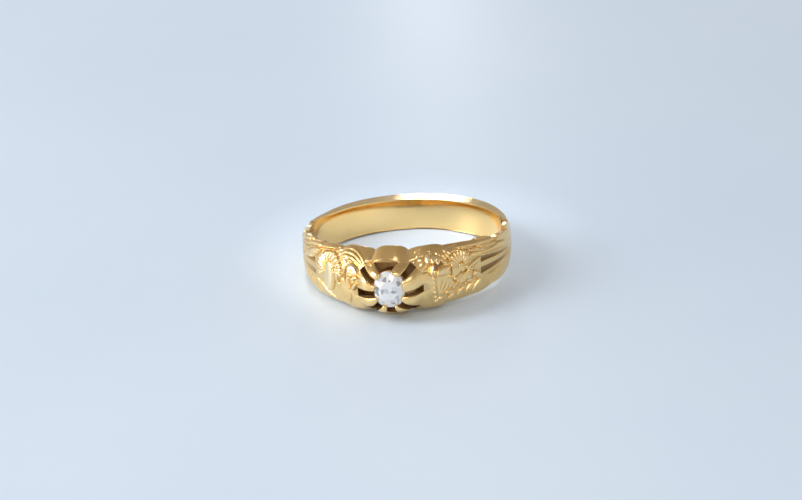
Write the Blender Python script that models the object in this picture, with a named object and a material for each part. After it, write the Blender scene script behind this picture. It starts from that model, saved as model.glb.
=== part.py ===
"""Engagement ring lying on its side: shank, carved shoulders, lobed head, collet, claws and diamond.

Metres, +Z up. The ring rests on the plane z = 0 with its head towards -Y. Every piece is shaped
in the ring's own frame, with the finger hole's axis along Z and the head towards -Y, and the empty
ring_frame tips it over on to its lower edge.
Angles round the finger hole are in degrees from the head, positive towards +X.
Angles round the stone are in degrees from +X, positive towards +Z.
"""
import math

import bmesh
import bpy
from mathutils import Matrix, Vector

MM = 0.001

# Driving dimensions
FINGER_RADIUS = 8.5 * MM
SEAM = 0.05 * MM
HEAD_SPAN = 28.0
SHOULDER_END = 98.0
LOBE_SPAN = 9.1
HEAD_HALF_WIDTH = 3.12 * MM
SIDE_LOBE_HALF_WIDTH = 2.9 * MM
LOBE_NOTCH_DEPTH = 0.45 * MM
HEAD_RISE = 3.0 * MM
BAND_RISE = 0.75 * MM
BACK_THICKNESS = 1.9 * MM
HEAD_EDGE = 0.84 * MM
SHOULDER_EDGE = 0.32 * MM
BACK_EDGE = 1.76 * MM
HEAD_FLARE = 0.42 * MM
LIP = 0.25 * MM
CHAMFER = 0.06 * MM
CARVING_DEPTH = 0.16 * MM
LAPPED_DEPTH = 0.05 * MM

# Spread of each swelling round the band, in degrees from the head, and how square its shoulders are
RISE_SPREAD = 29.0
RISE_POWER = 1.7
EDGE_SPREAD = 22.0
EDGE_POWER = 3.0
FLARE_SPREAD = 24.0
FLARE_POWER = 4.0
MIDDLE_LOBE_POWER = 3.5
SIDE_LOBE_POWER = 3.0
DOME_FADE = 36.0
BAND_DOME = (2.4, 0.6)
HEAD_DOME = (2.2, 1.0)

# Half width of the band: (angle from the head, half width)
BAND_EDGE = (
    (28.0, 2.63 * MM),
    (50.0, 2.5 * MM),
    (67.0, 2.2 * MM),
    (98.0, 1.75 * MM),
    (125.0, 1.5 * MM),
    (180.0, 1.4 * MM),
)

# Carving on the shoulders: flutes as (angle from the head, depth share), then the flower
FLUTE_ALONG = ((50.0, 0.0), (53.0, 1.0), (80.0, 1.0), (96.0, 0.0))
FLUTE_CENTRES = (-0.12, 0.28)
FLUTE_SPREAD = 0.10
FLOWER_ANGLE = 40.0
FLOWER_PETALS = 7
FLOWER_SKIN_RADIUS = 9.6 * MM
FLOWER_HALF_WIDTH = 2.4 * MM
FLOWER_HEART = 0.45 * MM
PETAL_RADIUS = 1.35 * MM
PETAL_SPREAD = 0.7 * MM
PETAL_SHARE = 0.7
CARVING_EDGE_FADE = 0.2
CARVING_END_FADE = 4.0

# Setting
STONE_POWER = 2.3
OPENING_POWER = 3.0
OPENING_X = 2.9 * MM
OPENING_TOP = 2.15 * MM
OPENING_BOTTOM = 2.65 * MM
STONE_X = 1.33 * MM
STONE_Z = 1.62 * MM
GIRDLE_HEIGHT = 11.7 * MM
GIRDLE_THICKNESS = 0.06 * MM
CROWN_HEIGHT = 0.42 * MM
PAVILION_DEPTH = 1.15 * MM
TABLE_SHARE = 0.52
BEZEL_SHARE = 0.76
BEZEL_RISE = 0.56
PAVILION_SHARE = 0.52
PAVILION_DROP = 0.50
CULET_SHARE = 0.06
COLLET_TOP = 11.22 * MM
COLLET_RADIUS = 1.4 * MM
COLLET_WALL = 0.26 * MM
COLLET_FOOT = 1.02 * MM
COLLET_HOLE = 0.62 * MM
COLLET_PLATE = 0.38 * MM
CLAW_HEIGHT = 12.06 * MM
CLAW_DEPTH = 0.75 * MM
CLAW_LAP = 0.24 * MM
CLAW_CREST = 0.04 * MM
CLAW_FALL_POWER = 0.85
CLAW_TIP_INSET = 0.15
CLAW_POINTS = 4
CLAW_SHARES = (1.0, 0.75, 0.5, 0.25, 0.06, 0.0)

# Slots between the claws: (angle at the stone, at the opening, half width at the stone, at the opening)
SLOTS = (
    (-16.0, -3.0, 0.18 * MM, 0.34 * MM),
    (42.0, 42.0, 0.26 * MM, 0.34 * MM),
    (99.0, 97.0, 0.46 * MM, 0.98 * MM),
    (152.0, 147.0, 0.26 * MM, 0.26 * MM),
    (196.0, 189.0, 0.30 * MM, 0.40 * MM),
    (236.0, 230.0, 0.28 * MM, 0.40 * MM),
    (273.0, 271.0, 0.34 * MM, 0.50 * MM),
    (306.0, 314.0, 0.26 * MM, 0.36 * MM),
)

# Cutters
OPENING_CUTTER_HEIGHTS = (7.0 * MM, 13.0 * MM)
OPENING_CUTTER_POINTS = 48
TABLE_CUTTER_SPAN = 40.0 * MM
TABLE_CUTTER_DEPTH = 4.0 * MM

# Mesh steps: (along the band, across it), facets round the stone and steps round the collet
SHANK_GRID = (48, 12)
SHOULDER_GRID = (44, 22)
HEAD_GRID = (48, 20)
FACETS = 8
COLLET_STEPS = 48

SMOOTH_ANGLE = 35.0
CLAW_SMOOTH_ANGLE = 50.0
FACET_ANGLE = 1.0
GOLD = (0.83, 0.60, 0.27, 1.0)
GOLD_FINISH = {"roughness": 0.22, "metallic": 1.0}
DIAMOND = (0.93, 0.95, 1.0, 1.0)


def clear_scene():
    for existing in list(bpy.data.objects):
        bpy.data.objects.remove(existing, do_unlink=True)


def make_collection(name):
    collection = bpy.data.collections.new(name)
    bpy.context.scene.collection.children.link(collection)
    return collection


def make_material(name, color, roughness, metallic):
    material = bpy.data.materials.new(name)
    material.use_nodes = True
    shader = material.node_tree.nodes["Principled BSDF"]
    shader.inputs["Base Color"].default_value = color
    shader.inputs["Roughness"].default_value = roughness
    shader.inputs["Metallic"].default_value = metallic
    return material


def add_object(name, mesh, collection, frame, material):
    piece = bpy.data.objects.new(name, mesh)
    collection.objects.link(piece)
    piece.parent = frame
    piece.data.materials.append(material)
    return piece


def finish_mesh(name, shape, smooth_angle):
    bmesh.ops.recalc_face_normals(shape, faces=shape.faces)
    mesh = bpy.data.meshes.new(name)
    shape.to_mesh(mesh)
    shape.free()
    mesh.shade_smooth()
    mesh.set_sharp_from_angle(angle=math.radians(smooth_angle))
    return mesh


def loft(name, sections, smooth_angle=SMOOTH_ANGLE):
    """Closed solid through a row of section loops that all have the same number of points."""
    shape = bmesh.new()
    loops = [[shape.verts.new(point) for point in section] for section in sections]
    count = len(loops[0])
    for near, far in zip(loops, loops[1:]):
        for i in range(count):
            j = (i + 1) % count
            shape.faces.new((near[i], near[j], far[j], far[i]))
    shape.faces.new(loops[0])
    shape.faces.new(loops[-1])
    return finish_mesh(name, shape, smooth_angle)


def blend_points(points, value):
    """Smooth value between neighbouring (position, value) points."""
    if value <= points[0][0]:
        return points[0][1]
    for (start, low), (end, high) in zip(points, points[1:]):
        if value <= end:
            share = (value - start) / (end - start)
            return low + (high - low) * (0.5 - 0.5 * math.cos(math.pi * share))
    return points[-1][1]


def from_head(angle):
    """Angle away from the head, on either side, from 0 to 180."""
    return abs((angle + 180.0) % 360.0 - 180.0)


def lobe_edge(angle):
    """Half width of the head: a straight-topped middle lobe with a round lobe on each side."""
    notch = HEAD_HALF_WIDTH - LOBE_NOTCH_DEPTH
    if angle < LOBE_SPAN:
        share = angle / LOBE_SPAN
        return HEAD_HALF_WIDTH - LOBE_NOTCH_DEPTH * share ** MIDDLE_LOBE_POWER
    middle = 0.5 * (LOBE_SPAN + HEAD_SPAN)
    share = abs(angle - middle) / (middle - LOBE_SPAN)
    return SIDE_LOBE_HALF_WIDTH - (SIDE_LOBE_HALF_WIDTH - notch) * share ** SIDE_LOBE_POWER


def half_width(angle):
    angle = from_head(angle)
    if angle < HEAD_SPAN:
        return lobe_edge(angle)
    return blend_points(BAND_EDGE, angle)


def swelling(angle, spread, power):
    """Is 1 at the head and falls to 0 on either side of it."""
    return math.exp(-((from_head(angle) / spread) ** power))


def bump(offset, spread):
    """Is 1 where the offset is 0 and falls to 0 on either side."""
    return math.exp(-((offset / spread) ** 2))


def back_share(angle):
    """Grows from 0 at the sides to 1 at the back of the shank."""
    return max(0.0, -math.cos(math.radians(angle))) ** 2


def band_rise(angle):
    """Thickness of the band at mid width."""
    head = HEAD_RISE * swelling(angle, RISE_SPREAD, RISE_POWER)
    return BAND_RISE + head + (BACK_THICKNESS - BAND_RISE) * back_share(angle)


def edge_thickness(angle):
    """Distance of the outer skin's edges from the finger wall."""
    head = (HEAD_EDGE - SHOULDER_EDGE) * swelling(angle, EDGE_SPREAD, EDGE_POWER)
    return SHOULDER_EDGE + head + (BACK_EDGE - SHOULDER_EDGE) * back_share(angle)


def flute_relief(angle, share):
    """Two long grooves between three ribs at the shank end of each shoulder."""
    along = blend_points(FLUTE_ALONG, from_head(angle))
    across = max(bump(share - centre, FLUTE_SPREAD) for centre in FLUTE_CENTRES)
    return -CARVING_DEPTH * along * across


def flower_relief(angle, share):
    """Open flower with a raised heart on the broad part of each shoulder."""
    along = math.radians(from_head(angle) - FLOWER_ANGLE) * FLOWER_SKIN_RADIUS
    across = share * FLOWER_HALF_WIDTH
    distance = math.hypot(along, across)
    turn = math.atan2(across, along)
    heart = bump(distance, FLOWER_HEART)
    ring = bump(distance - PETAL_RADIUS, PETAL_SPREAD)
    return CARVING_DEPTH * (heart + PETAL_SHARE * ring * math.cos(FLOWER_PETALS * turn))


def outer_radius(angle, share):
    """Radius of the outer skin; share runs from -1 at the lower edge to 1 at the upper edge."""
    away = from_head(angle)
    head_weight = blend_points(((0.0, 1.0), (DOME_FADE, 0.0)), away)
    inner, outer = (band + (head - band) * head_weight for band, head in zip(BAND_DOME, HEAD_DOME))
    dome = max(0.0, 1.0 - abs(share) ** inner) ** outer
    edge = edge_thickness(angle)
    radius = FINGER_RADIUS + edge + (band_rise(angle) - edge) * dome
    if HEAD_SPAN < away < SHOULDER_END:
        edge_fade = min(1.0, (1.0 - abs(share)) / CARVING_EDGE_FADE)
        fade = edge_fade * min(1.0, (away - HEAD_SPAN) / CARVING_END_FADE)
        radius += fade * (flute_relief(angle, share) + flower_relief(angle, share))
    return radius


def band_section(angle, across):
    """Section loop at one angle: finger wall, flared upper lip, outer skin, flared lower lip."""
    top = half_width(angle)
    flare = swelling(angle, FLARE_SPREAD, FLARE_POWER)
    wall = top - CHAMFER - (HEAD_FLARE - CHAMFER) * flare
    lip = FINGER_RADIUS + CHAMFER + (edge_thickness(angle) - LIP - CHAMFER) * flare
    direction = Vector((math.sin(math.radians(angle)), -math.cos(math.radians(angle)), 0.0))
    loop = [direction * FINGER_RADIUS + Vector((0, 0, z)) for z in (-wall, 0.0, wall)]
    loop.append(direction * lip + Vector((0, 0, top)))
    for i in range(across + 1):
        share = math.cos(math.pi * i / across)
        loop.append(direction * outer_radius(angle, share) + Vector((0, 0, top * share)))
    loop.append(direction * lip + Vector((0, 0, -top)))
    return loop


def band_piece(name, start, end, along, across):
    """One length of the band between two angles, short of each seam by half its gap."""
    inset = math.degrees(0.5 * SEAM / FINGER_RADIUS)
    first = start + inset
    last = end - inset
    sections = [band_section(first + (last - first) * i / along, across) for i in range(along + 1)]
    return loft(name, sections)


def oval_radius(turn, half_x, half_z, power):
    """Distance from the stone's centre line to a rounded oval, in the direction of turn."""
    x = abs(math.cos(math.radians(turn))) / half_x
    z = abs(math.sin(math.radians(turn))) / half_z
    return (x ** power + z ** power) ** (-1.0 / power)


def stone_radius(turn):
    return oval_radius(turn, STONE_X, STONE_Z, STONE_POWER)


def opening_radius(turn):
    """Edge of the head's opening, which is squarer than the stone and reaches further down than up."""
    half_z = OPENING_TOP if math.sin(math.radians(turn)) > 0.0 else OPENING_BOTTOM
    return oval_radius(turn, OPENING_X, half_z, OPENING_POWER)


def setting_point(turn, distance, height):
    """Point at a distance from the stone's centre line and a height from the finger hole's axis."""
    x = distance * math.cos(math.radians(turn))
    z = distance * math.sin(math.radians(turn))
    return Vector((x, -height, z))


def skin_height(turn, distance):
    """Height of the head's outer skin over a point of the setting."""
    point = setting_point(turn, distance, 0.0)
    angle = math.degrees(math.asin(point.x / (FINGER_RADIUS + HEAD_RISE)))
    share = min(1.0, abs(point.z) / half_width(angle))
    return outer_radius(angle, share) * math.cos(math.radians(angle))


def crown_height_at(turn, distance):
    """Height of the stone's crown facets at a distance from its centre line."""
    edge = stone_radius(turn)
    slope = CROWN_HEIGHT / (edge * (1.0 - TABLE_SHARE))
    return GIRDLE_HEIGHT + 0.5 * GIRDLE_THICKNESS + (edge - distance) * slope


def slot_edge(slot, side, share):
    """Angle of a slot's side at a share of the way from the stone to the opening."""
    turn_near, turn_far, near, far = slot
    turn = turn_near + (turn_far - turn_near) * share
    distance_near = stone_radius(turn)
    distance_far = opening_radius(turn)
    distance = distance_near + (distance_far - distance_near) * share
    reach = near + (far - near) * share
    return turn + side * math.degrees(math.asin(reach / distance))


def claw_section(before, after, share):
    """Section across a claw at a share of the way from the stone's edge (0) to the opening (1)."""
    low = slot_edge(before, 1.0, share)
    high = slot_edge(after, -1.0, share) + (360.0 if after[0] < before[0] else 0.0)
    top_row = []
    bottom_row = []
    for step in range(CLAW_POINTS):
        turn = low + (high - low) * step / (CLAW_POINTS - 1)
        stone_edge = stone_radius(turn)
        rim = opening_radius(turn) - SEAM
        distance = stone_edge + SEAM + (rim - stone_edge - SEAM) * share
        crest = CLAW_CREST if step in (1, 2) else 0.0
        top = CLAW_HEIGHT + (skin_height(turn, rim) - CLAW_HEIGHT) * share ** CLAW_FALL_POWER + crest
        bottom = top - CLAW_DEPTH if share > 0.0 else GIRDLE_HEIGHT + GIRDLE_THICKNESS + SEAM
        top_row.append(setting_point(turn, distance, top))
        bottom_row.append(setting_point(turn, distance, bottom))
    return top_row + bottom_row[::-1]


def claw_tip_section(before, after):
    """End of a claw, lapped over the stone's crown and a little narrower than the claw."""
    low = slot_edge(before, 1.0, 0.0)
    high = slot_edge(after, -1.0, 0.0) + (360.0 if after[0] < before[0] else 0.0)
    inset = CLAW_TIP_INSET * (high - low)
    top_row = []
    bottom_row = []
    for step in range(CLAW_POINTS):
        turn = low + inset + (high - low - 2.0 * inset) * step / (CLAW_POINTS - 1)
        distance = stone_radius(turn) - CLAW_LAP
        crest = CLAW_CREST if step in (1, 2) else 0.0
        top_row.append(setting_point(turn, distance, CLAW_HEIGHT + crest))
        bottom_row.append(setting_point(turn, distance, crown_height_at(turn, distance) + SEAM))
    return top_row + bottom_row[::-1]


def claw_mesh(name, before, after):
    """Claw between two slots, from the edge of the opening in to its tip over the stone's girdle."""
    sections = [claw_section(before, after, share) for share in CLAW_SHARES]
    sections.append(claw_tip_section(before, after))
    return loft(name, sections, CLAW_SMOOTH_ANGLE)


def diamond_mesh(name):
    """Cushion-shaped brilliant: the facets are the hull of its table, crown, girdle and culet points."""
    shape = bmesh.new()
    girdle_top = GIRDLE_HEIGHT + 0.5 * GIRDLE_THICKNESS
    girdle_bottom = GIRDLE_HEIGHT - 0.5 * GIRDLE_THICKNESS
    half_facet = 180.0 / FACETS
    rows = (
        (FACETS, half_facet, TABLE_SHARE, girdle_top + CROWN_HEIGHT),
        (FACETS, 0.0, BEZEL_SHARE, girdle_top + BEZEL_RISE * CROWN_HEIGHT),
        (2 * FACETS, 0.0, 1.0, girdle_top),
        (2 * FACETS, 0.0, 1.0, girdle_bottom),
        (FACETS, half_facet, PAVILION_SHARE, girdle_bottom - PAVILION_DROP * PAVILION_DEPTH),
        (FACETS, 0.0, CULET_SHARE, girdle_bottom - PAVILION_DEPTH),
    )
    for count, first, share, height in rows:
        for i in range(count):
            turn = first + 360.0 * i / count
            distance = share * stone_radius(turn)
            shape.verts.new(setting_point(turn, distance, height))
    bmesh.ops.convex_hull(shape, input=shape.verts, use_existing_faces=False)
    loose = [vert for vert in shape.verts if not vert.link_faces]
    bmesh.ops.delete(shape, geom=loose, context="VERTS")
    return finish_mesh(name, shape, FACET_ANGLE)


def collet_section(turn):
    """Section of the collet: tapered wall, then a plate that follows the finger wall to the opening."""
    rim = opening_radius(turn) - SEAM
    loop = [
        setting_point(turn, COLLET_RADIUS, COLLET_TOP),
        setting_point(turn, COLLET_RADIUS - COLLET_WALL, COLLET_TOP),
    ]
    plate = (
        (COLLET_HOLE, SEAM),
        (0.5 * (COLLET_HOLE + rim), SEAM),
        (rim, SEAM),
        (rim, SEAM + COLLET_PLATE),
        (COLLET_FOOT, SEAM + COLLET_PLATE),
    )
    for distance, lift in plate:
        across = distance * math.cos(math.radians(turn))
        finger_wall = math.sqrt(FINGER_RADIUS ** 2 - across ** 2)
        loop.append(setting_point(turn, distance, finger_wall + lift))
    return loop


def collet_mesh(name):
    """Cup behind the stone; its plate closes the head's opening but for the hole under the stone."""
    shape = bmesh.new()
    loops = [
        [shape.verts.new(point) for point in collet_section(360.0 * step / COLLET_STEPS)]
        for step in range(COLLET_STEPS)
    ]
    count = len(loops[0])
    for near, far in zip(loops, loops[1:] + loops[:1]):
        for i in range(count):
            j = (i + 1) % count
            shape.faces.new((near[i], near[j], far[j], far[i]))
    return finish_mesh(name, shape, SMOOTH_ANGLE)


def add_cutter(name, mesh, collection, parent):
    cutter = bpy.data.objects.new(name, mesh)
    collection.objects.link(cutter)
    cutter.parent = parent
    cutter.display_type = "WIRE"
    cutter.hide_render = True
    return cutter


def add_opening_cutter(collection, frame):
    """Oval prism through the head, along the stone's centre line."""
    turns = [360.0 * i / OPENING_CUTTER_POINTS for i in range(OPENING_CUTTER_POINTS)]
    sections = [
        [setting_point(turn, opening_radius(turn), height) for turn in turns]
        for height in OPENING_CUTTER_HEIGHTS
    ]
    return add_cutter("opening_cutter", loft("opening_cutter", sections), collection, frame)


def add_table_cutter(collection):
    """Block under z = 0 that laps the lowest edges flat."""
    shape = bmesh.new()
    bmesh.ops.create_cube(shape, size=1.0)
    size = Matrix.Diagonal((TABLE_CUTTER_SPAN, TABLE_CUTTER_SPAN, TABLE_CUTTER_DEPTH, 1.0))
    place = Matrix.Translation((0.0, 0.0, -0.5 * TABLE_CUTTER_DEPTH)) @ size
    bmesh.ops.transform(shape, matrix=place, verts=shape.verts)
    return add_cutter("table_cutter", finish_mesh("table_cutter", shape, SMOOTH_ANGLE), collection, None)


def cut(piece, cutter):
    modifier = piece.modifiers.new(cutter.name, "BOOLEAN")
    modifier.operation = "DIFFERENCE"
    modifier.solver = "EXACT"
    modifier.object = cutter


def ring_frame():
    """Empty that carries every piece: tips the ring on to its lower edge and centres it."""
    front = FINGER_RADIUS + HEAD_EDGE
    back = FINGER_RADIUS + BACK_EDGE
    tilt = math.atan2(HEAD_HALF_WIDTH - half_width(180.0), front + back)
    lowest = -front * math.sin(tilt) + HEAD_HALF_WIDTH * math.cos(tilt)
    nearest = GIRDLE_HEIGHT + 0.5 * GIRDLE_THICKNESS + CROWN_HEIGHT
    furthest = FINGER_RADIUS + BACK_THICKNESS
    frame = bpy.data.objects.new("ring_frame", None)
    bpy.context.scene.collection.objects.link(frame)
    frame.empty_display_size = 2.0 * MM
    frame.rotation_euler = (-tilt, 0.0, 0.0)
    frame.location = (0.0, 0.5 * (nearest - furthest) * math.cos(tilt), lowest - LAPPED_DEPTH)
    return frame


def main():
    clear_scene()
    parts = make_collection("engagement_ring")
    cutters = make_collection("cutters")
    frame = ring_frame()
    opening = add_opening_cutter(cutters, frame)
    table = add_table_cutter(cutters)

    shank = band_piece("shank", SHOULDER_END, 360.0 - SHOULDER_END, *SHANK_GRID)
    shank = add_object("shank", shank, parts, frame, make_material("shank_gold", GOLD, **GOLD_FINISH))
    cut(shank, table)
    for name, start, end in (
        ("right_shoulder", HEAD_SPAN, SHOULDER_END),
        ("left_shoulder", -SHOULDER_END, -HEAD_SPAN),
    ):
        shoulder = band_piece(name, start, end, *SHOULDER_GRID)
        add_object(name, shoulder, parts, frame, make_material(f"{name}_gold", GOLD, **GOLD_FINISH))
    head = band_piece("head", -HEAD_SPAN, HEAD_SPAN, *HEAD_GRID)
    head = add_object("head", head, parts, frame, make_material("head_gold", GOLD, **GOLD_FINISH))
    cut(head, opening)
    cut(head, table)

    collet = collet_mesh("collet")
    add_object("collet", collet, parts, frame, make_material("collet_gold", GOLD, **GOLD_FINISH))
    for i, before in enumerate(SLOTS):
        name = f"claw_{i + 1}"
        claw = claw_mesh(name, before, SLOTS[(i + 1) % len(SLOTS)])
        add_object(name, claw, parts, frame, make_material(f"{name}_gold", GOLD, **GOLD_FINISH))
    stone_material = make_material("diamond_clear", DIAMOND, 0.0, 0.0)
    add_object("diamond", diamond_mesh("diamond"), parts, frame, stone_material)


main()
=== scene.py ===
import math

import bmesh
import bpy
import numpy as np
from mathutils import Matrix, Vector


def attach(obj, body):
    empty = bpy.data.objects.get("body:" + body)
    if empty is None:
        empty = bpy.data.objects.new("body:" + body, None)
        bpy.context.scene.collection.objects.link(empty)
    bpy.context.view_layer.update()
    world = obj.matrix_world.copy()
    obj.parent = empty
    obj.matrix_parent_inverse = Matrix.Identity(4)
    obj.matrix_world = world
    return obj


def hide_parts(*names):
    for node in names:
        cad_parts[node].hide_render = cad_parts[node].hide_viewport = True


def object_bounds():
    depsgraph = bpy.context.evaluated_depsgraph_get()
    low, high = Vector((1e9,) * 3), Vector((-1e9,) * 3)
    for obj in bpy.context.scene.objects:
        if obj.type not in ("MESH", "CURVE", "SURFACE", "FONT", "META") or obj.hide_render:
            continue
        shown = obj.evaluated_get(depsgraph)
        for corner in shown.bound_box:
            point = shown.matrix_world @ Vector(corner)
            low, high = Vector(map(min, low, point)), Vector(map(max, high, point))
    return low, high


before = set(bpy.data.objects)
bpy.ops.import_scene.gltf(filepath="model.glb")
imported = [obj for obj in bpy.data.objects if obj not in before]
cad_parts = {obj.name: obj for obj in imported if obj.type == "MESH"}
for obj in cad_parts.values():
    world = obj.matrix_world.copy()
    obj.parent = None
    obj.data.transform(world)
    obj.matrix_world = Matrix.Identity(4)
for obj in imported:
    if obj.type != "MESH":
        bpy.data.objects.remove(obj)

CAD_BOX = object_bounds()
MM = 0.001

# ---- driving dimensions (mm, degrees)
FINGER_RADIUS = 8.5
HEAD_SPAN = 28.0  # half the head's length round the band
HEAD_INSIDE = HEAD_SPAN - 0.001  # last angle that takes the head's edge and not the shoulder's
SHOULDER_END = 98.0
LOBE_SPAN = 9.1  # half the middle lobe's length
HEAD_HALF_WIDTH = 3.12
SIDE_LOBE_HALF_WIDTH = 2.9
LOBE_NOTCH_DEPTH = 0.45
HEAD_RISE = 3.0  # thickness added at the middle of the head
BAND_RISE = 0.75  # thickness of the shoulders at mid width
BACK_THICKNESS = 1.9
HEAD_EDGE = 0.84  # thickness at the edges: head, shoulders and back
SHOULDER_EDGE = 0.34
BACK_EDGE = 1.76
HEAD_FLARE = 0.42  # how far the finger wall stops short of the head's edges
LIP = 0.13  # thickness of the lip that is left there
LIP_SLOPE = 0.06  # how far the lip's inner edge is set down
LIP_SLOPE_FADE = (86.0, 100.0)
BACK_FALL = 0.02  # how far the rim's face falls outwards at the back
BACK_FALL_RISE = (100.0, 150.0)
CHAMFER = 0.06  # rounding of the finger wall's edges on the shank
BAND_CORNER = 0.04
HEAD_CORNER = 0.05
COMFORT_FLARE = 0.09  # how far the shank's finger wall opens out at its edges
COMFORT_RISE = (90.0, 120.0)
LAPPED_DEPTH = 0.05  # taken off the lowest edge, to make the flat that the ring lies on
SHADE = 0.14  # how deep a wall or a lip counts as, so that it takes the painted shade of a hollow
SHADE_FADE = (98.0, 104.0)
BAND_EDGE = ((28.0, 2.63), (50.0, 2.5), (67.0, 2.2), (98.0, 1.75), (125.0, 1.5), (180.0, 1.4))

# Spread of each swelling round the band, in degrees from the head, and how square its shoulders are
RISE_SPREAD, RISE_POWER = 29.0, 1.7
EDGE_SPREAD, EDGE_POWER = 22.0, 3.0
FLARE_SPREAD, FLARE_POWER = 24.0, 4.0
FLARE_FADE = (60.0, 90.0)
FLARE_SHARE = 0.45
SIDE_SWELL = 0.12
SIDE_SWELL_RISE = (55.0, 75.0)
JOIN_BEAD, JOIN_BEAD_PAST, JOIN_BEAD_SPREAD = 0.10, 1.0, 1.3
MIDDLE_LOBE_POWER = 3.5
SIDE_LOBE_POWER = 3.0
DOME_FADE = 36.0
BAND_DOME = (2.4, 0.6)
HEAD_DOME_CHANGE = (-0.2, 0.4)

OPENING_X = 2.9
OPENING_TOP = 2.15
OPENING_BOTTOM = 2.65
OPENING_POWER = 3.0
STONE_POWER = 2.3
STONE_X = 1.33
STONE_Z = 1.62
GIRDLE_HEIGHT = 11.7
GIRDLE_THICKNESS = 0.06
GIRDLE_TOP = GIRDLE_HEIGHT + 0.5 * GIRDLE_THICKNESS
CROWN_HEIGHT = 0.42
PAVILION_DEPTH = 1.15
TABLE_SHARE = 0.52
BEZEL_SHARE = 0.735
BEZEL_RISE = 0.60
PAVILION_SHARE = 0.46
PAVILION_DROP = 0.565
CULET_SHARE = 0.07
COLLET_STRETCH = 0.10  # how much taller than wide the collet's rim is
COLLET_STRETCH_RISE = (9.5, 11.2)
CLAW_HEIGHT = 12.06
CLAW_DEPTH = 0.9
CLAW_LAP = 0.16  # how far each claw reaches in over the stone
CLAW_ROOT = 1.04  # where it starts, as a share of the way out to the opening's edge
CLAW_CREST = 0.20
CLAW_TIP_DROP = 0.12
CLAW_SWELL_FALL, CLAW_SWELL_POWER, CLAW_FALL_POWER = 0.55, 1.5, 0.8
CLAW_PLAIN = 0.6  # share of the way out where the crest ends and the relief starts
CLAW_TUCK = 0.02
CLAW_BELLY = 0.1
CLAW_NECK, CLAW_NECK_DEPTH = 0.2, 0.35

# Slots: (angle at the stone, angle at the opening, half width at the stone and at the opening)
SLOTS = (
    (-16.0, -3.0, 0.18, 0.34),
    (42.0, 42.0, 0.26, 0.34),
    (99.0, 97.0, 0.46, 0.98),
    (152.0, 147.0, 0.26, 0.26),
    (196.0, 189.0, 0.30, 0.40),
    (236.0, 230.0, 0.28, 0.40),
    (273.0, 271.0, 0.34, 0.50),
    (306.0, 314.0, 0.26, 0.36),
)

TILT = math.atan2(HEAD_HALF_WIDTH - BAND_EDGE[-1][1],
                  2.0 * FINGER_RADIUS + HEAD_EDGE + BACK_EDGE)
ARC = math.radians(9.35)  # mm along the carved surface for each degree round the hole
CARVING_EDGE_FADE = 0.22
CARVING_END = (84.0, 92.0)

# Mesh steps: (along the band, across it), then the steps of each part of a section
SHANK_GRID = (260, 60)
SHOULDER_GRID = (400, 180)
FINGER_WALL_STEPS = 15
EDGE_ARC_STEPS = 5
HEAD_OUTLINE_STEPS = (45, 260, 90)  # half a side, the top or bottom, a full side
HEAD_SKIN_STEPS = 56
HEAD_EDGE_STEPS = 8
HEAD_UNDER_STEPS = 12
HEAD_WALL_STEPS = 16
CLAW_GRID = (44, 25)
CLAW_SIDE_STEPS = 6
CLAW_TIP_STEPS = 8
COLLET_STEPS = 144


# ---- small helpers
def smooth(low, high, value):
    """0 below low, 1 above high, and a soft S between them."""
    share = np.clip((np.asarray(value, float) - low) / (high - low), 0.0, 1.0)
    return share * share * (3.0 - 2.0 * share)


def cosd(angle):
    return np.cos(np.radians(angle))


def sind(angle):
    return np.sin(np.radians(angle))


def bell(distance, width):
    return np.exp(-((distance / width) ** 2))


def blend_points(points, value):
    """Smooth value between neighbouring (position, value) points."""
    value = np.asarray(value, float)
    result = np.full(value.shape, points[0][1], float)
    for (start, low), (end, high) in zip(points, points[1:]):
        share = np.clip((value - start) / (end - start), 0.0, 1.0)
        eased = low + (high - low) * (0.5 - 0.5 * np.cos(math.pi * share))
        result = np.where(value > start, eased, result)
    return result


def add_object(name, data):
    made = bpy.data.objects.new(name, data)
    bpy.context.scene.collection.objects.link(made)
    return made


def ring_matrix():
    """Ring frame in millimetres to the world in metres, set on the CAD model's own floor and box."""
    low, high = CAD_BOX
    middle = 0.5 * (GIRDLE_TOP + CROWN_HEIGHT - (FINGER_RADIUS + BACK_THICKNESS))
    lowest = -(FINGER_RADIUS + HEAD_EDGE) * math.sin(TILT) + HEAD_HALF_WIDTH * math.cos(TILT)
    place_at = Vector((
        0.5 * (low[0] + high[0]),
        middle * math.cos(TILT) * MM,
        low[2] + (lowest - LAPPED_DEPTH) * MM,
    ))
    return Matrix.Translation(place_at) @ Matrix.Rotation(-TILT, 4, "X") @ Matrix.Scale(MM, 4)


RING = ring_matrix()


def place(points):
    """Ring-frame points in millimetres, in an array that ends in x, y, z, to world metres."""
    turn = np.array(RING)[:3, :3]
    shift = np.array(RING)[:3, 3]
    return np.asarray(points, float) @ turn.T + shift


# ---- band outline and plain surface
def from_head(angle):
    """Angle away from the head, on either side, from 0 to 180."""
    return np.abs((np.asarray(angle, float) + 180.0) % 360.0 - 180.0)


def signed(angle):
    """Angle from the head between -180 and 180, positive towards +X."""
    return (np.asarray(angle, float) + 180.0) % 360.0 - 180.0


# Ends of the leaves along the upper edge: (signed angle, step height). The edge dips before each.
LEAF_STEPS = ((68.0, 0.22), (50.0, 0.08), (-46.0, 0.07), (-57.0, 0.09), (-77.0, 0.14))
STEP_DIP = (-9.0, -0.6)
STEP_UP = (-0.5, 0.5)
LAST_LEAF = 86.0
LAST_LEAF_RISE = (60.0, 76.0)
LAST_LEAF_STEPS = (0.02, -0.30)  # left, right


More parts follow.
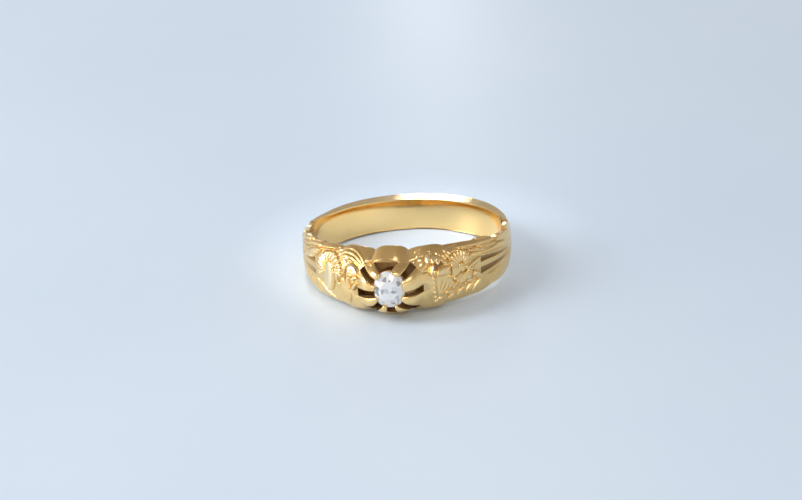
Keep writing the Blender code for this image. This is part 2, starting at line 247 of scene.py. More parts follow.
def lobe_edge(away):
    """Half width of the head: a straight-topped middle lobe with a round lobe on each side."""
    middle = 0.5 * (LOBE_SPAN + HEAD_SPAN)
    centre_lobe = HEAD_HALF_WIDTH - LOBE_NOTCH_DEPTH * (away / LOBE_SPAN) ** MIDDLE_LOBE_POWER
    drop = SIDE_LOBE_HALF_WIDTH - HEAD_HALF_WIDTH + LOBE_NOTCH_DEPTH
    beside = np.abs(away - middle) / (middle - LOBE_SPAN)
    side_lobe = SIDE_LOBE_HALF_WIDTH - drop * beside ** SIDE_LOBE_POWER
    return np.where(away < LOBE_SPAN, centre_lobe, side_lobe)


def leaf_steps(angle):
    """Small dips and steps along the upper edge where one carved leaf ends over the next."""
    angle = signed(angle)
    total = np.zeros(angle.shape)
    for at, height in LEAF_STEPS:
        beyond = (angle - at) * math.copysign(1.0, at)
        total -= height * smooth(*STEP_DIP, beyond) * (1.0 - smooth(*STEP_UP, beyond))
    away = np.abs(angle)
    bulge = smooth(*LAST_LEAF_RISE, away) * (1.0 - smooth(LAST_LEAF - 0.6, LAST_LEAF + 1.2, away))
    return total + np.where(angle > 0.0, LAST_LEAF_STEPS[1], LAST_LEAF_STEPS[0]) * bulge


def half_width(angle):
    away = from_head(angle)
    plain = np.where(away < HEAD_SPAN, lobe_edge(away), blend_points(BAND_EDGE, away))
    return plain + JOIN_BEAD * bell(away - SHOULDER_END - JOIN_BEAD_PAST, JOIN_BEAD_SPREAD)


def upper_edge(angle):
    """Half width of the upper side, where the leaves' ends show."""
    return half_width(angle) + leaf_steps(angle)


def back_share(angle):
    return np.maximum(0.0, -cosd(angle)) ** 2


def band_rise(angle):
    """Thickness of the band at mid width."""
    away = from_head(angle)
    head = HEAD_RISE * np.exp(-((away / RISE_SPREAD) ** RISE_POWER))
    return BAND_RISE + head + (BACK_THICKNESS - BAND_RISE) * back_share(angle)


def edge_thickness(angle):
    """Distance of the outer skin's edges from the finger wall."""
    away = from_head(angle)
    head = (HEAD_EDGE - SHOULDER_EDGE) * np.exp(-((away / EDGE_SPREAD) ** EDGE_POWER))
    side = SIDE_SWELL * smooth(*SIDE_SWELL_RISE, away)
    side = side * (1.0 - smooth(LAST_LEAF - 1.0, LAST_LEAF + 2.0, away))
    return SHOULDER_EDGE + head + side + (BACK_EDGE - SHOULDER_EDGE) * back_share(angle)


def plain_radius(angle, share):
    """Outer skin without carving; share runs from -1 at the lower edge to 1 at the upper edge."""
    away = from_head(angle)
    weight = blend_points(((0.0, 1.0), (DOME_FADE, 0.0)), away)
    inside = np.maximum(0.0, 1.0 - np.abs(share) ** (BAND_DOME[0] + HEAD_DOME_CHANGE[0] * weight))
    dome = inside ** (BAND_DOME[1] + HEAD_DOME_CHANGE[1] * weight)
    edge = edge_thickness(angle)
    return FINGER_RADIUS + edge + (band_rise(angle) - edge) * dome


# ---- the setting, seen from the stone
def oval_radius(turn, half_x, half_z, power):
    """Distance from the stone's centre line to a rounded oval, in the direction of turn."""
    x = np.abs(cosd(turn)) / half_x
    z = np.abs(sind(turn)) / half_z
    return (x ** power + z ** power) ** (-1.0 / power)


def stone_radius(turn):
    return oval_radius(turn, STONE_X, STONE_Z, STONE_POWER)


def opening_radius(turn):
    """Edge of the head's opening, which is squarer than the stone and reaches further down than up."""
    half_z = np.where(sind(turn) > 0.0, OPENING_TOP, OPENING_BOTTOM)
    return oval_radius(turn, OPENING_X, half_z, OPENING_POWER)


def skin_at(x, z):
    """Angle and radius of the plain skin over a point of the setting, by repeated projection."""
    angle = np.degrees(np.arcsin(x / (FINGER_RADIUS + HEAD_RISE)))
    for _ in range(8):
        radius = plain_radius(angle, z / half_width(angle))
        angle = np.degrees(np.arcsin(x / radius))
    return angle, radius


def skin_height(turn, distance):
    x = distance * cosd(turn)
    z = distance * sind(turn)
    angle, radius = skin_at(x, z)
    return radius * cosd(angle)


def slot_line(slot, share):
    """Angle and half width of a slot at a share of the way from the stone to the opening."""
    turn_near, turn_far, near, far = slot
    return turn_near + (turn_far - turn_near) * share, near + (far - near) * share


def slot_side(slot, side, share):
    turn, reach = slot_line(slot, share)
    near = stone_radius(turn)
    far = opening_radius(turn)
    return turn + side * math.degrees(math.asin(reach / (near + (far - near) * share)))


# Relief beside the slots: depth, reach, and the shares of the way out where a slot closes and fades
PETAL_DEPTH, PETAL_REACH = 0.10, 0.11
SLOT_CLOSING, SLOT_FADING = (1.0, 1.5), (1.0, 1.75)
SLOT_CLOSED = 0.85


def petal_relief(turn, distance):
    """Rounds the claws' shoulders beside every slot and runs each slot out into a fading groove."""
    turn = np.asarray(turn, float)
    near = stone_radius(turn)
    far = opening_radius(turn)
    share = (distance - near) / (far - near)
    total = np.zeros(np.broadcast(turn, distance).shape)
    for slot in SLOTS:
        centre, reach = slot_line(slot, np.clip(share, 0.0, 1.0))
        off = np.abs(np.radians((turn - centre + 180.0) % 360.0 - 180.0)) * distance
        closing = reach * (1.0 - SLOT_CLOSED * smooth(*SLOT_CLOSING, share))
        beside = np.maximum(0.0, off - closing)
        total -= PETAL_DEPTH * bell(beside, PETAL_REACH) * (1.0 - smooth(*SLOT_FADING, share))
    return total


# ---- carving tools
def spline(points, samples=14):
    """Catmull-Rom curve through (angle, z) points, as mm along and across the band."""
    knots = np.array(points, float) * (ARC, 1.0)
    knots = np.vstack((2 * knots[0] - knots[1], knots, 2 * knots[-1] - knots[-2]))
    t = np.linspace(0.0, 1.0, samples, endpoint=False)[:, None]
    runs = []
    for a, b, c, d in zip(knots, knots[1:], knots[2:], knots[3:]):
        runs.append(0.5 * (2 * b + (c - a) * t + (2 * a - 5 * b + 4 * c - d) * t ** 2
                           + (3 * b - a - 3 * c + d) * t ** 3))
    return np.vstack(runs + [knots[-2:-1]])


def soften(heights):
    """Blurs a grid of heights a little, so that steep carving doesn't break into steps."""
    padded = np.pad(heights, 1, mode="edge")
    return (4 * heights + padded[:-2, 1:-1] + padded[2:, 1:-1]
            + padded[1:-1, :-2] + padded[1:-1, 2:]) / 8.0


class Surface:
    """Carving that grows on a set of (signed angle, z) points; depths and heights are in mm."""

    def __init__(self, angle, z):
        self.x = signed(angle) * ARC
        self.z = np.asarray(z, float)
        self.height = np.zeros(self.x.shape)

    def near(self, points, reach):
        """Points within reach of a path: their mask, distance, share along it and side."""
        line = spline(points)
        low, high = line.min(0) - reach, line.max(0) + reach
        mask = (self.x > low[0]) & (self.x < high[0]) & (self.z > low[1]) & (self.z < high[1])
        x, z = self.x[mask], self.z[mask]
        apart = (x[:, None] - line[:, 0]) ** 2 + (z[:, None] - line[:, 1]) ** 2
        nearest = apart.argmin(1)
        distance = np.sqrt(apart[np.arange(len(x)), nearest])
        step = np.gradient(line, axis=0)[nearest]
        side = np.sign(step[:, 0] * (z - line[nearest, 1]) - step[:, 1] * (x - line[nearest, 0]))
        return mask, distance, nearest / (len(line) - 1.0), side

    def leaf(self, points, width, height, vein=0.0, lean=0.0, base=0.0, cut=0.10):
        """Domed leaf along a path, laid over what is there. lean raises one side; a cut runs round it."""
        mask, distance, along, side = self.near(points, width + 0.2)
        reach = width * np.clip(4.0 * along * (1.0 - along), 0.02, 1.0) ** 0.45
        across = np.clip(distance / reach, 0.0, 1.0)
        dome = height * (1.0 - across ** 2.2) ** 0.7 * (1.0 + lean * side * across)
        dome = dome - vein * bell(distance, 0.05) * np.sin(math.pi * along) ** 0.5
        over = np.where(across < 1.0, base + dome, -1.0)
        self.height[mask] -= cut * bell(distance - reach, 0.06)
        self.height[mask] = np.maximum(self.height[mask], over)

    def groove(self, points, width, depth):
        """Engraved line along a path, which fades in and out at its ends."""
        mask, distance, along, _ = self.near(points, 3.0 * width)
        ends = np.sin(math.pi * np.clip(along, 0.03, 0.97)) ** 0.4
        self.height[mask] -= depth * bell(distance, width) * ends

    def ridge(self, points, width, height):
        """Raised line along a path."""
        self.groove(points, width, -height)

    def bead(self, at, radius, height):
        """Round bead that sits on what is there."""
        apart = np.hypot(self.x - at[0] * ARC, self.z - at[1])
        dome = height * np.sqrt(np.clip(1.0 - (apart / radius) ** 2, 0.0, 1.0))
        self.height = np.maximum(self.height, np.where(apart < radius, dome + self.height * 0.3, -1.0))

    def pit(self, at, radius, depth):
        """Soft round hollow."""
        self.height -= depth * bell(np.hypot(self.x - at[0] * ARC, self.z - at[1]), radius)

    def fan(self, at, inner, outer, turns, pleats, height, swirl=0.5):
        """Pleated fan about a point: inner and outer radius in mm, turns from +X in degrees."""
        x, z = self.x - at[0] * ARC, self.z - at[1]
        distance = np.hypot(x, z)
        middle = 0.5 * (turns[0] + turns[1])
        turn = middle + signed(np.degrees(np.arctan2(z, x)) - middle)
        out = (distance - inner) / (outer - inner)
        along = (turn - turns[0]) / (turns[1] - turns[0]) + swirl * (out - 0.5) / pleats
        pleat = np.sqrt(np.abs(np.sin(math.pi * pleats * along)))
        edge = inner + (outer - inner) * (0.86 + 0.14 * pleat)
        reach = np.clip((distance - inner) / (edge - inner), 0.0, 1.0)
        dome = np.sqrt(np.clip(1.0 - (2.0 * reach - 1.0) ** 4, 0.0, 1.0))
        inside = (along > 0.0) & (along < 1.0) & (distance > inner) & (distance < edge)
        beside = (along > -0.02) & (along < 1.02)
        self.height -= 0.14 * bell(distance - edge - 0.04, 0.06) * beside
        self.height -= 0.14 * bell(distance - inner + 0.04, 0.06) * beside
        raised = height * dome * (0.15 + 0.85 * pleat)
        self.height = np.where(inside, np.maximum(self.height, raised), self.height)

    def flute(self, points, wide, narrow, depth):
        """Flat-bottomed cut that starts square and deep, then narrows and rises as it runs on."""
        mask, distance, along, _ = self.near(points, wide + 0.15)
        beyond = math.copysign(1.0, points[0][0]) * (self.x[mask] - points[0][0] * ARC)
        reach = wide + (narrow - wide) * along ** 0.7
        inside = smooth(0.0, 0.08, beyond) * (1.0 - smooth(reach - 0.05, reach + 0.05, distance))
        self.height[mask] -= depth * inside * (1.0 - 0.8 * along)

    def feather(self, stem, count, reach, height, width=0.17):
        """Acanthus leaf: pairs of short lobes along a stem, which shorten towards its tip."""
        line = spline(stem, 12)
        for step in range(count):
            at = int((len(line) - 2) * step / (count - 1.0))
            forward = line[at + 1] - line[at]
            forward = forward / np.hypot(*forward)
            long = reach * (1.0 - 0.55 * step / (count - 1.0))
            for side in (-1.0, 1.0):
                out = 0.66 * forward + 0.75 * side * np.array((-forward[1], forward[0]))
                lobe = [line[at], line[at] + 0.55 * long * out, line[at] + long * (out + 0.3 * forward)]
                self.leaf([(x / ARC, z) for x, z in lobe], width, height, cut=0.07)
        self.groove(stem, 0.05, 0.10)

    def strokes(self, first, last, count, width, depth):
        """Row of engraved lines that runs over from one path to another."""
        first, last = np.array(first, float), np.array(last, float)
        for step in range(count):
            share = step / (count - 1.0)
            self.groove((first + (last - first) * share).tolist(), width, depth)

    def panel(self, low, high, depth):
        """Sunk or raised panel between two corners in (angle, z)."""
        soft = 0.05
        left, right = sorted((low[0] * ARC, high[0] * ARC))
        inside = smooth(left - soft, left + soft, self.x) * (1 - smooth(right - soft, right + soft, self.x))
        bottom, top = sorted((low[1], high[1]))
        inside = inside * smooth(bottom - soft, bottom + soft, self.z)
        inside = inside * (1.0 - smooth(top - soft, top + soft, self.z))
        self.height += depth * inside


def carve_flutes(skin, sign, depth):
    """Three ribs and two flutes behind each shoulder's last leaf, and the leaf ends over them."""
    skin.flute([(sign * 50.3, 0.66), (sign * 59.0, 0.56), (sign * 69.0, 0.38), (sign * 81.0, 0.28)],
               0.21, 0.07, depth)
    skin.flute([(sign * 50.1, -0.33), (sign * 60.0, -0.31), (sign * 70.0, -0.28), (sign * 82.0, -0.22)],
               0.27, 0.10, depth)
    skin.ridge([(sign * 49.0, 1.12), (sign * 55.0, 1.0), (sign * 64.0, 0.88), (sign * 76.0, 0.72)],
               0.09, 0.12)
    skin.groove([(sign * 58.0, 1.42), (sign * 68.0, 1.38), (sign * 78.0, 1.1)], 0.07, 0.14)
    skin.groove([(sign * 54.0, -0.98), (sign * 66.0, -0.9), (sign * 80.0, -0.7)], 0.08, 0.08)


def carve_left(skin):
    """Left shoulder: open flower with a smooth heart, a frill of petals round it and long leaves."""
    skin.leaf([(-80, 1.45), (-72, 1.85), (-62, 2.15)], 0.26, 0.09, lean=0.4)
    skin.leaf([(-68, 1.45), (-57, 1.95), (-44, 2.3), (-31, 2.5)], 0.20, 0.13)
    skin.leaf([(-64, 0.70), (-55, 1.15), (-45.5, 1.95)], 0.42, 0.28, vein=0.06)
    skin.leaf([(-50, -1.0), (-42, -1.5), (-32, -2.2)], 0.42, 0.05, cut=0.03)
    skin.leaf([(-64, -1.0), (-55, -1.5), (-46, -2.1)], 0.36, 0.04, cut=0.03)
    skin.fan((-34.8, 0.45), 0.70, 1.80, (2.0, 200.0), 13, 0.32)
    skin.leaf([(-34.0, 1.42), (-34.6, 0.3), (-36.0, -1.3)], 0.80, 0.34, cut=0.16)
    skin.groove([(-39.2, 0.45), (-37.4, 1.05), (-34.5, 1.40), (-31.0, 1.40), (-29.6, 0.95)], 0.06, 0.24)
    skin.pit((-30.3, 0.85), 0.13, 0.30)
    skin.leaf([(-28.8, 1.2), (-27.7, 0.55), (-27.5, -0.05)], 0.19, 0.32, cut=0.16)
    skin.pit((-26.9, -0.18), 0.10, 0.25)
    skin.pit((-44.8, 0.08), 0.12, 0.18)
    for first, last, count, width, depth in (
        ([(-50, -0.7), (-44, -1.0), (-38, -1.7)], [(-42, -1.4), (-35, -1.8), (-30, -2.3)], 6, 0.05, 0.08),
        ([(-66, -0.9), (-58, -1.0), (-51, -1.2)], [(-64, -1.8), (-56, -1.9), (-48, -2.2)], 5, 0.05, 0.07),
        ([(-30, -0.6), (-26, -1.2), (-24, -2.0)], [(-22, -0.9), (-20, -1.6), (-19, -2.4)], 5, 0.05, 0.07),
        ([(-62, 0.95), (-55, 1.3), (-47, 1.95)], [(-60, 0.6), (-54, 0.85), (-46, 1.45)], 4, 0.04, 0.09),
    ):
        skin.strokes(first, last, count, width, depth)


def carve_scroll(skin):
    """Curled scroll between the left shoulder and the stone, under a band of engraved crescents."""
    for step in range(4):
        lift = 0.26 * step
        skin.ridge([(-29.5 + 0.8 * step, 2.42 - lift), (-24.5, 2.74 - lift), (-19.5, 2.72 - lift),
                    (-15.0 - 0.3 * step, 2.40 - 0.9 * lift), (-10.6 - 0.8 * step, 1.72 - 0.45 * lift)],
                   0.07, 0.15)
    skin.pit((-22.4, 1.9), 0.18, 0.18)
    skin.groove([(-20.8, 1.65), (-22.2, 1.1), (-22.3, 0.4), (-21.0, -0.35)], 0.08, 0.24)
    skin.leaf([(-20.6, 1.35), (-18.0, 1.55), (-14.6, 1.2)], 0.34, 0.34, cut=0.16)
    skin.leaf([(-14.2, 0.85), (-16.2, 0.78), (-18.2, 0.45)], 0.17, 0.28, cut=0.14)
    skin.leaf([(-19.6, 0.8), (-20.3, 0.2), (-19.0, -0.4)], 0.20, 0.26, cut=0.14)
    skin.leaf([(-15.0, 0.3), (-16.8, -0.1), (-18.0, -0.45)], 0.18, 0.26, cut=0.14)
    skin.ridge([(-24.3, 1.4), (-24.9, 0.6), (-24.2, -0.3), (-22.0, -1.2)], 0.09, 0.10)
    skin.groove([(-18.6, -0.8), (-19.6, -1.4), (-22.5, -2.2)], 0.09, 0.12)


def carve_right(skin):
    """Right shoulder: two pleated fans, acanthus leaves, beads and strokes, under two long leaves."""
    skin.leaf([(30, 2.2), (42, 2.25), (56, 1.95), (69, 1.9)], 0.30, 0.13, lean=0.3)
    skin.leaf([(44, 1.75), (56, 1.6), (68, 1.45)], 0.26, 0.12, lean=0.3)
    skin.groove([(30, 2.42), (40, 2.2), (48, 1.92), (55, 1.5), (62, 1.3)], 0.06, 0.14)
    skin.leaf([(36.5, 0.90), (41.5, 1.12), (46.0, 1.48)], 0.20, 0.18)
    skin.leaf([(38.0, 1.66), (40.0, 1.40), (43.5, 1.26)], 0.18, 0.16)
    skin.leaf([(39.0, 0.42), (45.0, 0.65), (50.0, 0.95)], 0.26, 0.16)
    skin.panel((20.6, 1.66), (25.6, 1.14), -0.20)
    skin.leaf([(21.3, 0.75), (24.5, 0.9), (28.0, 0.75)], 0.44, 0.20)
    skin.fan((36.5, 0.75), 0.42, 1.45, (28.0, 172.0), 9, 0.16)
    skin.feather([(50, -1.0), (41, -1.05), (32, -1.3), (24.0, -1.9)], 5, 1.15, 0.17, 0.30)
    skin.fan((37.5, 0.55), 0.45, 1.35, (-150.0, -8.0), 8, 0.15, 0.30)
    skin.feather([(30.0, 1.55), (27.0, 1.75), (23.0, 2.2)], 3, 0.5, 0.16, 0.17)
    for first, last, width, depth in (
        ([(31, -0.6), (30, -0.9), (27, -1.3)], [(24.5, 0.1), (23.8, -0.3), (22.6, -0.8)], 0.06, 0.12),
        ([(52, -1.0), (60, -0.95), (70, -0.8)], [(54, -1.8), (64, -1.6), (76, -1.3)], 0.05, 0.08),
        ([(42, 2.15), (54, 1.85), (66, 1.6)], [(46, 1.6), (56, 1.45), (68, 1.2)], 0.045, 0.10),
    ):
        skin.strokes(first, last, 4, width, depth)
    for at, long in (((43.5, 0.44), 1.6), ((44.0, -0.05), 2.6), ((39.4, 0.25), 1.1)):
        skin.groove([(at[0] - long, at[1] - 0.04), at, (at[0] + long, at[1] + 0.04)], 0.06, 0.18)
    for z in (1.05, 0.66, 0.30):
        skin.bead((28.2, z), 0.17, 0.24)
    skin.groove([(29.6, 1.3), (29.8, 0.6), (29.4, 0.1)], 0.07, 0.2)
    for at in ((28.0, 2.42), (30.2, 2.15)):
        skin.bead(at, 0.17, 0.2)


def carve_head(skin):
    """Leaf tips on the right of the head, crescents along the lobes and the ridge round the dome."""
    for at in ((18.0, 2.18), (20.3, 2.02), (22.6, 1.84)):
        skin.leaf([(at[0] + 0.8, at[1] + 0.26), at, (at[0] - 0.8, at[1] - 0.26)], 0.23, 0.34, lean=0.3)
    skin.leaf([(20.2, 1.72), (19.3, 1.3), (18.4, 0.85)], 0.18, 0.34, cut=0.14)
    for z, size in ((0.48, 0.17), (0.05, 0.10), (-0.40, 0.10), (-0.85, 0.14), (-1.35, 0.10), (-1.85, 0.16)):
        skin.bead((20.0 + 0.25 * z * z, z), size, 0.18)
    skin.groove([(21.0, 0.3), (21.2, -0.4), (21.8, -1.3), (23.0, -2.2)], 0.06, 0.12)
    for step in range(3):
        lift = 0.2 + 0.2 * step
        skin.groove([(10.2 + step, 2.62 - lift), (14.0, 2.82 - lift), (19.0, 2.88 - lift),
                     (25.0, 2.72 - lift)], 0.06, 0.05)
    skin.groove([(11.0, 0.95), (13.5, 1.12), (17.0, 1.2)], 0.05, 0.12)
    skin.leaf([(11.5, 1.25), (14.0, 1.75), (17.2, 2.05)], 0.42, 0.10, vein=0.05, cut=0.05)
    skin.strokes([(15.5, -0.6), (17.0, -1.1), (18.2, -1.8)], [(17.5, -0.3), (18.8, -0.9), (19.6, -1.6)],
                 3, 0.06, 0.09)
    skin.bead((-10.3, 2.2), 0.17, 0.24)
    skin.ridge([(-12.0, 2.05), (-10.8, 2.25), (-9.0, 2.2)], 0.08, 0.16)
    skin.ridge([(10.2, 1.86), (12.0, 1.76), (12.8, 1.46)], 0.07, 0.16)


def carving(angle, z):
    """Height of all carving over the plain skin, in mm."""
    surface = Surface(angle, z)
    carve_left(surface)
    carve_right(surface)
    carve_scroll(surface)
    carve_head(surface)
    carve_flutes(surface, 1.0, 0.36)
    carve_flutes(surface, -1.0, 0.20)
    return surface.height


def skin_relief(angle, z):
    """Carving and slot relief over the plain skin; the carving fades at the edges and the shank."""
    angle, z = np.broadcast_arrays(np.asarray(angle, float), np.asarray(z, float))
    top = np.where(z > 0.0, upper_edge(angle), half_width(angle))
    share = np.clip(z / top, -1.0, 1.0)
    away = from_head(angle)
    relief = carving(angle, z) * smooth(0.0, CARVING_EDGE_FADE, top - np.abs(z))
    relief = relief * (1.0 - smooth(*CARVING_END, away))
    x = plain_radius(angle, share) * sind(angle)
    petals = petal_relief(np.degrees(np.arctan2(z, x)), np.hypot(x, z)) * (away < HEAD_SPAN)
    return soften(relief + petals)


# ---- mesh making
def add_grid(name, points, cavity, closed=False, sharp=(), on_floor=True):
    """Mesh object through rows of section loops in the ring frame, closed on itself or capped."""
    rows, columns = points.shape[:2]
    world = place(points).reshape(-1, 3)
    if on_floor:
        world[:, 2] = np.maximum(world[:, 2], CAD_BOX[0][2])
    index = np.arange(rows * columns).reshape(rows, columns)
    if closed:
        index = np.vstack((index, index[:1]))
    a, b = index[:-1], index[1:]
    quads = np.stack((a, b, np.roll(b, -1, 1), np.roll(a, -1, 1)), -1).reshape(-1, 4)
    faces = quads.tolist()
    if not closed:
        faces += [index[0].tolist(), index[-1][::-1].tolist()]
    mesh = bpy.data.meshes.new(name)
    mesh.from_pydata(world.tolist(), [], faces)
    shape = bmesh.new()
    shape.from_mesh(mesh)
    bmesh.ops.recalc_face_normals(shape, faces=shape.faces)
    shape.to_mesh(mesh)
    shape.free()
    mesh.shade_smooth()
    ends = np.empty(2 * len(mesh.edges), np.int32)
    mesh.edges.foreach_get("vertices", ends)
    first, second = ends.reshape(-1, 2).T
    hard = np.zeros(len(mesh.edges), bool)
    for column in sharp:
        hard |= (first % columns == column % columns) & (second % columns == column % columns)
    if not closed:
        for row in (0, rows - 1):
            hard |= (first // columns == row) & (second // columns == row)
    mesh.edges.foreach_set("use_edge_sharp", hard)
    # The cavity values go to the gold materials, where they paint shade into hollows and walls and a
    # highlight onto crests.
    painted_light_map = mesh.attributes.new("carving", "FLOAT", "POINT")
    painted_light_map.data.foreach_set("value", cavity.ravel())
    return add_object(name, mesh)


def on_ring(angle, radius, z):
    """Ring-frame points at an angle from the head, a radius and a height."""
    turn = np.radians(angle)
    return np.stack(np.broadcast_arrays(radius * np.sin(turn), -radius * np.cos(turn), z), -1)


def lip_flare(away):
    """How far the wall flares out into a thin lip: fully at the head, not at all on the shank."""
    wide = 1.0 - smooth(*FLARE_FADE, away)
    return FLARE_SHARE * wide + (1.0 - FLARE_SHARE) * np.exp(-((away / FLARE_SPREAD) ** FLARE_POWER))


def across_shares(count):
    """Shares from 1 to -1, closer together at the edges."""
    t = np.linspace(0.0, 1.0, count)
    return 0.45 * (1.0 - 2.0 * t) + 0.55 * np.cos(math.pi * t)


def band_piece(name, start, end, along, across):
    """One length of the band: rounded finger wall, edge faces and the carved outer skin."""
    angle = np.linspace(start, end, along)[:, None]
    top, bottom = upper_edge(angle), half_width(angle)
    away = from_head(angle)
    flare = lip_flare(away)
    set_back = CHAMFER + (HEAD_FLARE - CHAMFER) * flare
    lip = FINGER_RADIUS + BAND_CORNER + (edge_thickness(angle) - LIP - BAND_CORNER) * flare
    lip_drop = LIP_SLOPE * (1.0 - smooth(*LIP_SLOPE_FADE, away))
    fall = BACK_FALL * smooth(*BACK_FALL_RISE, away)

    share = across_shares(across)[None, :]
    skin_z = np.where(share > 0.0, top, bottom) * share
    relief = skin_relief(angle, skin_z)
    radius = plain_radius(angle, np.broadcast_to(share, relief.shape)) + relief

    inner = np.linspace(-1.0, 1.0, FINGER_WALL_STEPS)[None, :]
    arc = np.radians(np.linspace(0.0, 90.0, EDGE_ARC_STEPS))[None, :]
    upper_r = FINGER_RADIUS + (lip - FINGER_RADIUS) * (1.0 - np.cos(arc))
    upper_z = top - set_back + (set_back - lip_drop) * np.sin(arc)
    lower_z = bottom - set_back + (set_back - lip_drop) * np.sin(arc)
    barrel = FINGER_RADIUS + COMFORT_FLARE * inner ** 4 * smooth(*COMFORT_RISE, away)
    upper_r = upper_r + (barrel[:, -1:] - FINGER_RADIUS) * np.cos(arc)
    parts_r = (barrel, upper_r[:, 1:], radius, upper_r[:, :0:-1])
    wall_z = (np.where(inner > 0.0, top, bottom) - set_back) * inner
    parts_z = (wall_z, upper_z[:, 1:], skin_z - fall * share, -lower_z[:, :0:-1])
    loop_r, loop_z = np.concatenate(parts_r, 1), np.concatenate(parts_z, 1)
    first = FINGER_WALL_STEPS + EDGE_ARC_STEPS - 2
    last = first + 1 + across
    cavity = np.zeros(loop_r.shape)
    # The skin's carving heights give its grooves painted shade and its crests a painted highlight; the edge
    # arcs and the lip get painted shade, which fades out on the shank.
    cavity[:, first + 1:last] = relief
    shaded = -SHADE * (1.0 - smooth(*SHADE_FADE, away))
    cavity[:, FINGER_WALL_STEPS:first + 1] = shaded
    cavity[:, last + 1:] = shaded
    sharp = (first, first + 1, last - 1, last)
    return add_grid(name, on_ring(angle, loop_r, loop_z), cavity, sharp=sharp)


def head_outline():
    """Points round the head's edge as (angle, z), starting at the middle of the right side."""
    half_side, level, full_side = HEAD_OUTLINE_STEPS
    corner = float(half_width(HEAD_INSIDE))
    side = np.linspace(0.0, corner, half_side, endpoint=False)
    top = np.linspace(HEAD_SPAN, -HEAD_SPAN, level, endpoint=False)
    top_z = half_width(np.clip(top, -HEAD_INSIDE, HEAD_INSIDE))
    full = np.linspace(corner, -corner, full_side, endpoint=False)
    right, left = np.full(half_side, HEAD_SPAN), np.full(full_side, -HEAD_SPAN)
    angle = np.concatenate((right, top, left, -top, right))
    z = np.concatenate((side, top_z, full, -top_z, side - corner))
    return angle[:, None], z[:, None]


def head_piece(name):
    """Lobed head with its oval opening: each loop runs out over the skin and back along the wall."""
    edge_angle, edge_z = head_outline()
    half_z = np.where(edge_z > 0.0, OPENING_TOP, OPENING_BOTTOM)
    turn = np.degrees(np.arctan2(edge_z / HEAD_HALF_WIDTH * half_z, edge_angle / HEAD_SPAN * OPENING_X))
    reach = opening_radius(turn)
    rim_x, rim_z = reach * cosd(turn), reach * sind(turn)
    rim_angle, _ = skin_at(rim_x, rim_z)

    share = np.linspace(0.0, 1.0, HEAD_SKIN_STEPS)[None, :]
    share = 0.6 * share + 0.4 * (0.5 - 0.5 * np.cos(math.pi * share))
    angle = rim_angle + (edge_angle - rim_angle) * share
    z = rim_z + (edge_z - rim_z) * share
    relief = skin_relief(angle, z)
    radius = plain_radius(angle, np.clip(z / half_width(angle), -1.0, 1.0)) + relief

    flare = lip_flare(np.abs(edge_angle))
    lip = FINGER_RADIUS + HEAD_CORNER + (edge_thickness(edge_angle) - LIP - HEAD_CORNER) * flare
    full = half_width(np.clip(edge_angle, -HEAD_INSIDE, HEAD_INSIDE))
    wall = edge_z * (1.0 - (CHAMFER + (HEAD_FLARE - CHAMFER) * flare) / full)
    lip_z = edge_z * (1.0 - LIP_SLOPE / full)
    bend = np.linspace(0.0, 1.0, HEAD_EDGE_STEPS)[None, :]
    wall_r = lip + (FINGER_RADIUS - lip) * np.sin(0.5 * math.pi * bend)
    wall_z = lip_z + (wall - lip_z) * (1.0 - np.cos(0.5 * math.pi * bend))

    bottom_angle = np.degrees(np.arcsin(rim_x / FINGER_RADIUS))
    under = np.linspace(0.0, 1.0, HEAD_UNDER_STEPS)[None, 1:]
    under_angle = edge_angle + (bottom_angle - edge_angle) * under
    under_z = wall + (rim_z - wall) * under
    rise = np.linspace(0.0, 1.0, HEAD_WALL_STEPS)[None, 1:-1]
    low = np.sqrt(FINGER_RADIUS ** 2 - rim_x ** 2)
    high = radius[:, :1] * cosd(rim_angle)
    height = low + (high - low) * rise
    side = np.stack(np.broadcast_arrays(rim_x, -height, rim_z), -1)

    loops = np.concatenate((
        on_ring(angle, radius, z),
        on_ring(edge_angle, wall_r, wall_z),
        on_ring(under_angle, FINGER_RADIUS, under_z),
        side,
    ), 1)
    edge_end = HEAD_SKIN_STEPS + HEAD_EDGE_STEPS
    under_end = edge_end + HEAD_UNDER_STEPS - 1
    # Painted shade on the edge, the lip and the wall of the opening; the finger wall has none, and the skin
    # takes painted shade in its grooves and a painted highlight on its crests.
    cavity = np.full(loops.shape[:2], -SHADE)
    cavity[:, :HEAD_SKIN_STEPS] = relief
    cavity[:, edge_end:under_end] = 0.0
    sharp = (HEAD_SKIN_STEPS - 1, HEAD_SKIN_STEPS, edge_end - 1, under_end - 1)
    return add_grid(name, loops, cavity, closed=True, sharp=sharp)


# ---- claws, collet and stone
def setting_points(turn, distance, height):
    """Ring-frame points at a turn and distance round the stone, and a height above the ring's axis."""
    x = distance * cosd(turn)
    z = distance * sind(turn)
    return np.stack(np.broadcast_arrays(x, -np.asarray(height, float), z), -1)


def crown_height_at(turn, distance):
    """Height of the stone's sloping crown."""
    edge = stone_radius(turn)
    slope = CROWN_HEIGHT / (edge * (1.0 - TABLE_SHARE))
    return GIRDLE_TOP + (edge - distance) * slope


def claw_span(before, after, share):
    """Middle and half of the angle between the slots before and after a claw."""
    low = slot_side(before, 1.0, share)
    high = slot_side(after, -1.0, share) + (360.0 if after[0] < before[0] else 0.0)
    return 0.5 * (low + high), 0.5 * (high - low)


